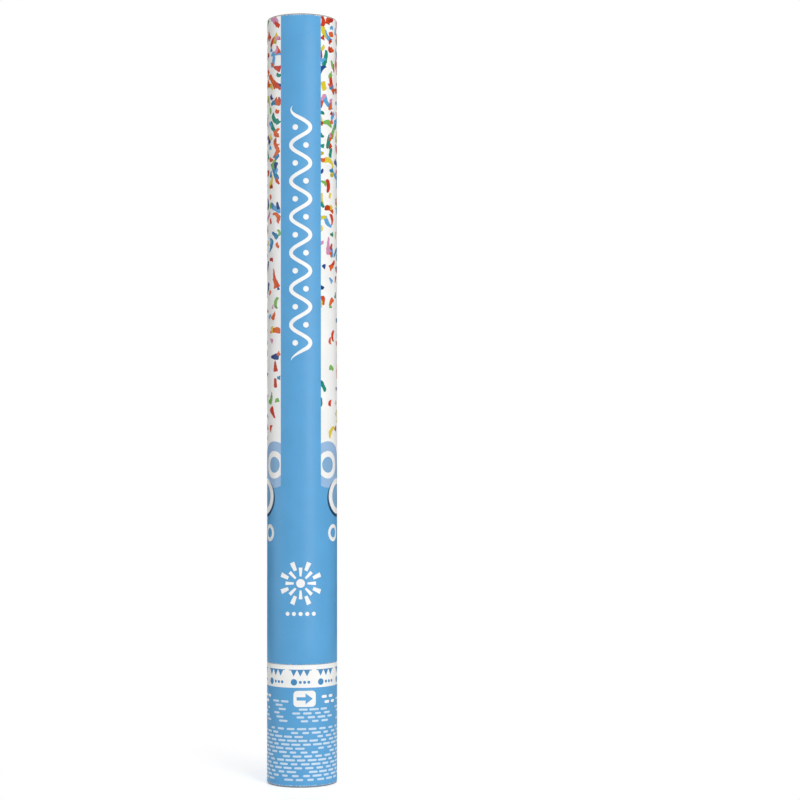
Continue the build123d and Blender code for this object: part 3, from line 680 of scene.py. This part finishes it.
def mesh_piece(name, points, quads):
    """A smooth object from points in millimetres. Points that coincide, as at a pole, are merged."""
    mesh = bpy.data.meshes.new(name)
    mesh.from_pydata(points * MM, [], quads.tolist())
    shell = bmesh.new()
    shell.from_mesh(mesh)
    bmesh.ops.remove_doubles(shell, verts=shell.verts, dist=MERGE_DISTANCE * MM)
    shell.to_mesh(mesh)
    shell.free()
    mesh.shade_smooth()
    mesh.set_sharp_from_angle(angle=SHARP_ANGLE)
    piece = bpy.data.objects.new(name, mesh)
    bpy.context.scene.collection.objects.link(piece)
    return piece


def turned(name, angle, radius, height, close_columns):
    """A profile carried round the tube's axis: radius and height by angle from the front and by step
    along the profile."""
    grid = np.stack(np.broadcast_arrays(radius * np.sin(angle), -radius * np.cos(angle), height), -1)
    rows, columns = grid.shape[:2]
    return mesh_piece(name, grid.reshape(-1, 3), grid_quads(rows, columns, True, close_columns))


def ring_section(outer, inner, low, high, rounding, rings=0):
    """A tube's closed section, up its outer side and down its inner side, with rounded corners. Rings
    divide the outer side evenly."""
    corners = (
        (outer - rounding, low + rounding, 3),
        (outer - rounding, high - rounding, 0),
        (inner + rounding, high - rounding, 1),
        (inner + rounding, low + rounding, 2),
    )
    quarter = np.linspace(0, math.pi / 2, CORNER_STEPS)
    arcs = []
    for radius, height, turn in corners:
        angle = quarter + turn * math.pi / 2
        arcs.append((radius + rounding * np.cos(angle), height + rounding * np.sin(angle)))
    levels = np.linspace(low + rounding, high - rounding, rings + 2)[1:-1]
    arcs.insert(1, (np.full(rings, outer), levels))
    return np.concatenate(arcs, axis=1)


def lay_flat(piece, angle, room, sheets):
    """Unrolls a turned piece into a flat map for a baked texture: the angle runs across a sheet, and
    every step of the profile takes its room up the sheet. Sheets lie side by side with a thin margin."""
    end = np.cumsum(room)
    sheet = ((end - room / 2) * sheets // end[-1]).astype(int)
    foot = np.array([(end - room)[sheet == number].min() for number in range(sheets)])[sheet]
    start = (angle - angle[0]).ravel() / FULL_TURN
    stop = np.append(start[1:], 1.0)
    across = np.stack([start, start, stop, stop], -1)[:, None, :]
    up = np.stack([end - room, end, end, end - room], -1) - foot[:, None]
    places = np.stack(np.broadcast_arrays(across, up / up.max()), -1)
    places = SHEET_MARGIN + (1 - 2 * SHEET_MARGIN) * places
    places[..., 0] = (sheet[:, None] + places[..., 0]) / sheets
    flat_map = piece.data.uv_layers.new(name=FLAT_MAP)
    flat_map.uv.foreach_set("vector", places.ravel().astype(np.float32))


def dress(piece, body, material, slot, *nodes):
    """Gives a new piece its finish and its body, and lets it stand for CAD nodes."""
    piece.data.materials.append(material)
    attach(piece, body)
    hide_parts(*nodes)


SEAM_LAP, SEAM_STEP, SEAM_EDGE = 8.0, 0.14, 0.2
JOINT_LAP = 0.18
WRAP_ROUNDING = 0.08
WRAP_STEPS, WRAP_RINGS = 256, 23
EDGE_ROOM = 0.5


def wraps(paper):
    """The printed wraps: thin tubes whose outer side climbs by a smooth step over the lap before the
    seam and drops back at the seam's edge. At the joint both stand a little proud of their boards."""
    steps = np.linspace(0, GIRTH - SEAM_EDGE, WRAP_STEPS)
    round_the_tube = np.append(steps, GIRTH - SEAM_EDGE / 2)[:, None]
    climb = np.clip((round_the_tube - (GIRTH - 2 * SEAM_LAP)) / SEAM_LAP, 0, 1)
    lift = SEAM_STEP * climb**2 * (3 - 2 * climb)
    lift[-1] = 0
    angle = (SEAM_PLACE - SEAM_EDGE / 2 - GIRTH + round_the_tube) / WRAP_RADIUS
    for name, low, high, sheets in (
        ("barrel", barrel_low[2] - JOINT_LAP, barrel_high[2], 2),
        ("grip", grip_low[2], grip_high[2] + JOINT_LAP, 1),
    ):
        inner = WRAP_RADIUS - WRAP_THICKNESS
        radius, height = ring_section(WRAP_RADIUS, inner, low, high, WRAP_ROUNDING, WRAP_RINGS)
        outside = radius > (WRAP_RADIUS + inner) / 2
        piece = turned(name + "_print", angle, radius + lift * outside, height, True)
        rise = np.abs(np.diff(height, append=height[0]))
        lay_flat(piece, angle, EDGE_ROOM + outside * rise, sheets)
        dress(piece, name, paper, "printed_paper", name + "_wrap")


BOARD_ROUNDING = 0.15
BOARD_STEPS = 192


def barrel_board(chipboard):
    """The barrel's card tube: a ring section with softened cut edges."""
    angle = np.linspace(0, FULL_TURN, BOARD_STEPS, endpoint=False)[:, None]
    outer = tube_high[0]
    section = ring_section(outer, outer - TUBE_WALL, tube_low[2], tube_high[2], BOARD_ROUNDING)
    piece = turned("barrel_board", angle, *section, True)
    dress(piece, "barrel", chipboard, "wound_chipboard", "barrel_tube")


FOIL_STEPS, FOIL_RINGS = 160, 48
CRINKLE_SEED, CRINKLES = 8, 30
CRINKLE_TURNS, CRINKLE_LENGTHS, CRINKLE_MOST = (3, 40), (1.6, 6.0), 6
# Shares of the foil's thickness: how far its top lies below the lid's box, and what a crinkle adds
CRINKLE_LEVEL, CRINKLE_SHARE = 0.25, 0.04


def foil_facing(foil):
    """The lid's foil: a disc that steps down round a raised panel by a smooth step. Its top is crinkled
    by waves round and across it, which die out towards the middle."""
    angle = np.linspace(0, FULL_TURN, FOIL_STEPS, endpoint=False)[:, None]
    radius = np.linspace(0, foil_high[0], FOIL_RINGS)
    fall = np.clip((radius - LID_PANEL_RADIUS + LID_PANEL_RISE) / LID_PANEL_RISE, 0, 1)
    level = foil_high[2] - LID_PANEL_RISE * fall**2 * (3 - 2 * fall)
    rng = np.random.default_rng(CRINKLE_SEED)
    waves = rng.integers(*CRINKLE_TURNS, CRINKLES)[:, None, None]
    lengths = rng.uniform(*CRINKLE_LENGTHS, CRINKLES)[:, None, None]
    phases = rng.uniform(0, FULL_TURN, (2, CRINKLES, 1, 1))
    crinkle = (np.sin(waves * angle + phases[0]) * np.sin(radius / lengths + phases[1])).sum(0)
    crinkle = np.clip(crinkle, -CRINKLE_MOST, CRINKLE_MOST)
    top = level - FOIL_THICKNESS * (CRINKLE_LEVEL + CRINKLE_SHARE * crinkle * radius / foil_high[0])
    under = np.broadcast_to(level - FOIL_THICKNESS, top.shape)
    across = np.concatenate([radius, radius[::-1]])
    height = np.concatenate([under, top[:, ::-1]], axis=1)
    dress(turned("foil_facing", angle, across, height, False), "lid", foil, "lid_foil", "lid_foil")


LEAVES = 6
LEAF_ROWS, LEAF_COLUMNS = 7, 4
LEAF_THICKNESS = 0.1
# How much shorter at an end and narrower at a side a leaf may be, and how far it leaves its plane
LEAF_TRIM, LEAF_NARROWING = (0.2, 2.6), (0.1, 1.0)
LEAF_SWAY, LEAF_RIPPLE, LEAF_TWIST = 0.2, 0.12, 0.14
LEAF_INSET = 0.4


def bundle_places(colour):
    """Turn, side, depth and foot of every bundle of one colour. Rows of bundles fill the bore as far as
    its circle allows, the layers turn one after another, and colours follow one another."""
    step = STRIP_WIDTH + BUNDLE_GAP
    deep = BUNDLE_THICKNESS + STRIP_BOW
    reach = int(PACKED_RADIUS // ROW_PITCH)
    spots = []
    for depth in np.arange(-reach, reach + 1) * ROW_PITCH:
        far = abs(depth) + deep / 2
        if far < PACKED_RADIUS:
            count = int((2 * math.sqrt(PACKED_RADIUS**2 - far**2) + BUNDLE_GAP) // step)
            spots += [((slot - (count - 1) / 2) * step, depth - deep / 2) for slot in range(count)]
    low = min(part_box("confetti_" + each)[0].z for each in COLOURS) / MM
    high = max(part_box("confetti_" + each)[1].z for each in COLOURS) / MM
    layers = round((high - low + LAYER_GAP) / (STRIP_LENGTH + LAYER_GAP))
    return np.array([
        (layer * LAYER_TURN, side, depth, low + layer * (STRIP_LENGTH + LAYER_GAP))
        for layer in range(layers)
        for place, (side, depth) in enumerate(spots)
        if COLOURS[(place + layer) % len(COLOURS)] == colour
    ])


def tissue_strips(colour, finish):
    """One colour's strips. A leaf is bowed across to a parabola and sways along by two sines, with a
    twist. Its front and back meet at both ends, and leaves fan out through the bundle's thickness."""
    bundles = np.repeat(bundle_places(colour), LEAVES, axis=0)
    count = len(bundles)
    rng = np.random.default_rng(COLOURS.index(colour))
    turn, side, depth, foot = bundles.T[:, :, None, None]
    order = np.tile(np.linspace(0, 1, LEAVES), count // LEAVES)[:, None, None]
    phase = rng.uniform(0, FULL_TURN, (3, count, 1, 1))
    trim = rng.uniform(*LEAF_TRIM, (2, count, 1, 1))
    half = STRIP_WIDTH / 2 - rng.uniform(*LEAF_NARROWING, (count, 1, 1))
    along = np.linspace(0, 1, LEAF_ROWS)[:, None]
    across = np.linspace(-1, 1, LEAF_COLUMNS)
    sway = LEAF_SWAY * np.sin(FULL_TURN * along + phase[0])
    sway = sway + LEAF_RIPPLE * np.sin(2 * FULL_TURN * along + phase[1])
    twist = LEAF_TWIST * across * np.sin(FULL_TURN * along + phase[2])
    fan = LEAF_INSET + (BUNDLE_THICKNESS - 2 * LEAF_INSET) * order
    x = side + half * across + 0 * along
    y = depth + STRIP_BOW * (1 - across**2) + fan + sway + twist
    z = foot + trim[0] + along * (STRIP_LENGTH - trim.sum(0)) + 0 * across
    thick = LEAF_THICKNESS * (np.abs(along - 0.5) < 0.5)
    x, z = (np.concatenate([part, part[..., ::-1]], axis=-1) for part in (x, z))
    y = np.concatenate([y, y[..., ::-1] + thick], axis=-1)
    points = np.stack([x * np.cos(turn) - y * np.sin(turn), x * np.sin(turn) + y * np.cos(turn), z], -1)
    quads = grid_quads(LEAF_ROWS, 2 * LEAF_COLUMNS, False, True)
    leaf_starts = np.arange(count)[:, None, None] * LEAF_ROWS * 2 * LEAF_COLUMNS
    piece = mesh_piece("strips_" + colour, points.reshape(-1, 3), (quads + leaf_starts).reshape(-1, 4))
    dress(piece, "load", finish, "tissue_" + colour, "confetti_" + colour)


def finish_node(name, material):
    """Puts a material on a CAD node that stays in view."""
    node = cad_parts[name]
    node.data.materials.clear()
    node.data.materials.append(material)


# Stage
CAMERA_DISTANCE = 1485.0
CAMERA_HEIGHT = 257.0
FOCAL_PIXELS = 1881.0
PICTURE_PIXELS = 800
AXIS_PIXEL = 302.1
HORIZON_PIXEL = 453.7
SENSOR_WIDTH = 36.0
# In metres: how far the camera sees, the height that the lamps face, the floor's half side, and the
# distances from the tube between which the floor turns to plain white
CLIP_END = 100.0
LIT_HEIGHT = 0.3
FLOOR_HALF = 8.0
FLOOR_NEAR, FLOOR_FAR = 0.04, 0.25
# The light that tops the floor up near the tube, and the black cards' places
FLOOR_LIFT = 0.48
FLAG_ASIDE = 350.0
FLAG_REACH, FLAG_RISE = (-1200.0, 2000.0), (0.0, 950.0)


def camera():
    """A camera turned and tilted so that the tube's axis and the horizon fall on their pixels, with the
    roll that keeps the tube upright in the picture."""
    made = bpy.data.cameras.new("camera")
    made.sensor_width = SENSOR_WIDTH
    made.lens = FOCAL_PIXELS / PICTURE_PIXELS * SENSOR_WIDTH
    made.clip_end = CLIP_END
    holder = bpy.data.objects.new("camera", made)
    aside = (PICTURE_PIXELS / 2 - AXIS_PIXEL) / FOCAL_PIXELS
    above = (HORIZON_PIXEL - PICTURE_PIXELS / 2) / FOCAL_PIXELS
    holder.location = (0, -CAMERA_DISTANCE * MM, CAMERA_HEIGHT * MM)
    holder.rotation_euler = (math.pi / 2 + math.atan(above), 0, -math.atan(aside))
    holder.rotation_euler.rotate_axis("Z", -math.atan(aside * above))
    bpy.context.scene.collection.objects.link(holder)
    bpy.context.scene.camera = holder


def softbox(name, azimuth, elevation, distance, size, level):
    """A softbox that faces the tube's middle, at an azimuth right of the camera. Its level is what it
    gives a white surface that faces it."""
    light = bpy.data.lights.new(name, "AREA")
    light.shape = "RECTANGLE"
    light.size, light.size_y = size
    light.energy = level * (math.pi * distance) ** 2
    holder = bpy.data.objects.new(name, light)
    turn, rise = math.radians(azimuth), math.radians(elevation)
    away = np.array([math.cos(rise) * math.sin(turn), -math.cos(rise) * math.cos(turn), math.sin(rise)])
    holder.location = np.array([0, 0, LIT_HEIGHT]) + distance * away
    holder.rotation_euler = (math.pi / 2 - rise, 0, turn)
    bpy.context.scene.collection.objects.link(holder)


def seen(tree):
    """1 for what the camera sees, straight, in gloss or through glass."""
    path = add(tree, "LightPath").node.outputs
    straight = add(tree, "Math", path["Is Camera Ray"], path["Is Glossy Ray"], operation="MAXIMUM")
    return add(tree, "Math", straight, path["Is Transmission Ray"], operation="MAXIMUM")


def surround(ambient):
    """A white surround that lights softly."""
    world = bpy.data.worlds.new("studio")
    bpy.context.scene.world = world
    world.use_nodes = True
    tree = world.node_tree
    tree.nodes.clear()
    light = add(tree, "Background", (1, 1, 1, 1), ambient)
    white = add(tree, "Background", (1, 1, 1, 1), 1.0)
    add(tree, "OutputWorld", add(tree, "MixShader", seen(tree), light, white))


def floor():
    """A white floor: where it is seen, its light is topped up to white near the tube and gives way to
    plain white with distance, so that a soft shadow stays at the foot and no horizon shows."""
    made, tree = new_material("white_floor")
    away = add(tree, "VectorMath", add(tree, "TexCoord", out="Object"), out="Value", operation="LENGTH")
    fade = add(tree, "MapRange", away, FLOOR_NEAR, FLOOR_FAR)
    paint = add(tree, "BsdfDiffuse", linear("#F0F0F0"))
    lifted = add(tree, "AddShader", paint, add(tree, "Emission", (1, 1, 1, 1), FLOOR_LIFT))
    shown = add(tree, "MixShader", fade, lifted, add(tree, "Emission", (1, 1, 1, 1), 1.0))
    add(tree, "OutputMaterial", add(tree, "MixShader", seen(tree), paint, shown))
    side = np.array([-FLOOR_HALF, FLOOR_HALF]) / MM
    x, y = np.meshgrid(side, side)
    points = np.stack([x, y, 0 * x], -1).reshape(-1, 3)
    piece = mesh_piece("floor", points, grid_quads(2, 2, False, False))
    piece.data.materials.append(made)
    piece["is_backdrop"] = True


def flags():
    """Black cards on both sides of the tube. They show in reflections alone, so that the gloss on the
    tube's sides is dark against the white."""
    made, tree = new_material("black_card")
    add(tree, "OutputMaterial", add(tree, "BsdfDiffuse", linear("#0C0C0C")))
    y, z = np.meshgrid(FLAG_REACH, FLAG_RISE)
    for name, x in (("left_flag", -FLAG_ASIDE), ("right_flag", FLAG_ASIDE)):
        points = np.stack([np.full_like(y, x), y, z], -1).reshape(-1, 3)
        piece = mesh_piece(name, points, grid_quads(2, 2, False, False))
        piece.data.materials.append(made)
        piece.visible_camera = piece.visible_diffuse = piece.visible_shadow = False
        piece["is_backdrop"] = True


# Assembly
bpy.context.scene.view_settings.view_transform = "Standard"
chipboard = board(
    "spiral_wound_chipboard", "#AFAAA0", "#8C877D",
    fibre_mm=0.8, roughness=0.92, depth_mm=0.12, ply_mm=0.44,
)
white_board = board(
    "white_lined_board", "#DAD7CF", "#C3BFB5",
    fibre_mm=0.9, roughness=0.7, depth_mm=0.08, ply_mm=0.4,
)
pressed_board = board(
    "pressed_pulp_board", "#C7B79C", "#9D8C72",
    fibre_mm=0.6, roughness=0.9, depth_mm=0.1, ply_mm=0.5,
)
steel = drawn_metal(
    "drawn_spring_steel", "#B9BBBE", "#8C8F93",
    roughness=0.32, line_mm=0.25, stretch=(1.0, 1.0, 0.05),
)
aluminium = drawn_metal(
    "drawn_aluminium", "#E3E4E6", "#C6C8CB",
    roughness=0.34, line_mm=0.3, stretch=(0.05, 0.05, 1.0),
)
foil = drawn_metal(
    "rolled_aluminium_foil", "#E9EAEC", "#CDD0D4",
    roughness=0.24, line_mm=0.5, stretch=(1.0, 0.05, 1.0),
)
grey_plastic = moulded("moulded_grey_polypropylene", "#868C92", "#767C82", roughness=0.45, grain_mm=0.35)
white_plastic = moulded("moulded_white_acetal", "#EDEDEA", "#DEDEDA", roughness=0.38, grain_mm=0.4)
black_plastic = moulded("moulded_black_nylon", "#26272A", "#1B1C1E", roughness=0.5, grain_mm=0.3)
rubber = nitrile_rubber()
# Each tissue's colour, and the darker tone that is painted as shade in its creases' hollows
tissues = {
    "red": ("#D8301F", "#B32316"),
    "blue": ("#4F9BC9", "#3C7FB0"),
    "yellow": ("#F4C551", "#DDA836"),
    "green": ("#8CC06E", "#6FA352"),
    "pink": ("#E78FC0", "#D175A9"),
    "violet": ("#B784BB", "#9C6AA2"),
}

wraps(printed_paper())
barrel_board(chipboard)
foil_facing(foil)
for colour, shades in tissues.items():
    tissue_strips(colour, dyed_tissue(colour, *shades))
for material, names in (
    (chipboard, ("grip_tube",)),
    (white_board, ("liner_sleeve", "can_bands")),
    (pressed_board, ("wad_board", "muzzle_lid")),
    (expanded_foam(), ("wad_foam",)),
    (grey_plastic, ("base_cap",)),
    (white_plastic, ("bulkhead", "release_plug")),
    (black_plastic, ("valve_tower",)),
    (aluminium, ("air_can", "crimp_ferrule")),
    (steel, ("cross_pin", "retaining_clip")),
    (rubber, ("fill_bung", "neck_gasket", "plug_seals")),
):
    for name in names:
        finish_node(name, material)

camera()
surround(ambient=0.05)
floor()
flags()
softbox("key_softbox", azimuth=26, elevation=5, distance=5.0, size=(1.7, 2.8), level=0.9)
softbox("fill_softbox", azimuth=-88, elevation=5, distance=5.0, size=(1.7, 2.8), level=0.44)
softbox("back_softbox", azimuth=180, elevation=8, distance=5.0, size=(1.7, 2.8), level=0.75)
softbox("top_softbox", azimuth=28, elevation=80, distance=4.0, size=(1.7, 1.7), level=0.36)

boxes = {"cad": cad_box, "visual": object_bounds()}
{name: [list(corner) for corner in box] for name, box in boxes.items()}
